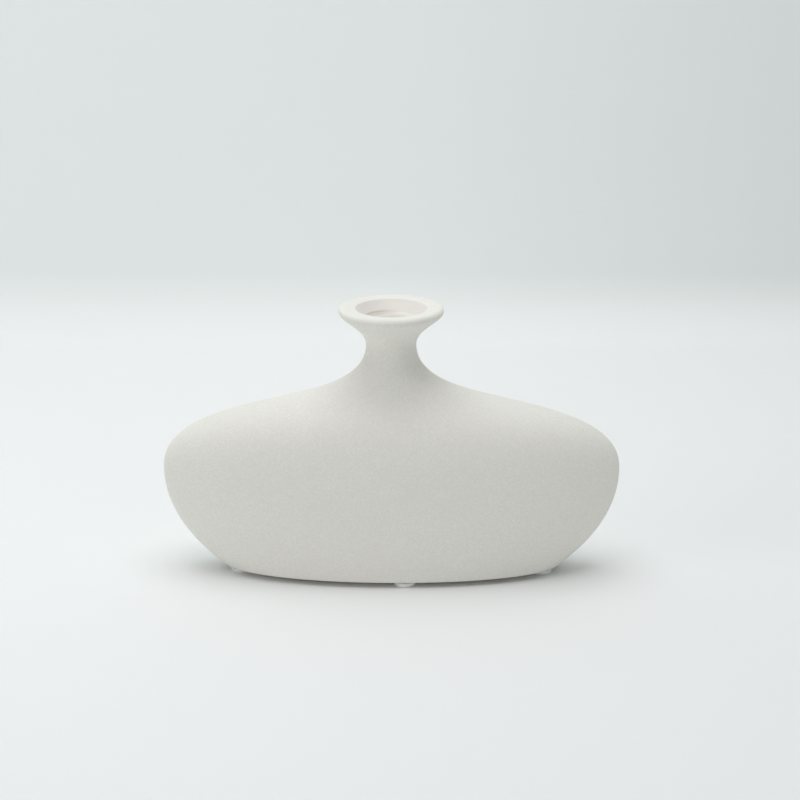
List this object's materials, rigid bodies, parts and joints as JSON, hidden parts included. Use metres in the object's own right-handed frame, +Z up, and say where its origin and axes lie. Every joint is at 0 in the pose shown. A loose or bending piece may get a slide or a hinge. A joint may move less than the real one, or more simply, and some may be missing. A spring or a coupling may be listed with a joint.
{
  "type": "pillow vase",
  "caption": "Wide, flat ceramic pillow vase: full rounded body, sloping shoulders, narrow neck with a flared rolled lip, glazed inside, on clear stick-on pads. Holds stems in water.",
  "frame": {"origin": "on the surface the vase stands on, under the middle of its foot", "axes": "+X along the vase's width, -Y towards its front, +Z up out of the mouth"},
  "size_m": [0.22, 0.06, 0.1317],
  "materials": {
    "matte_ceramic": "matte, fine sandy bisque-like coat",
    "inner_glaze": "satin clear glaze over warm pinkish clay",
    "clear_pad": "clear soft polyurethane",
    "pad_adhesive": "clear acrylic adhesive film"
  },
  "bodies": {
    "root": {"vase_body": "matte_ceramic", "glaze_lining": "inner_glaze", "front_pad": "clear_pad", "back_pad": "clear_pad", "left_pad": "clear_pad", "right_pad": "clear_pad", "front_adhesive": "pad_adhesive", "back_adhesive": "pad_adhesive", "left_adhesive": "pad_adhesive", "right_adhesive": "pad_adhesive"}
  },
  "joints": []
}
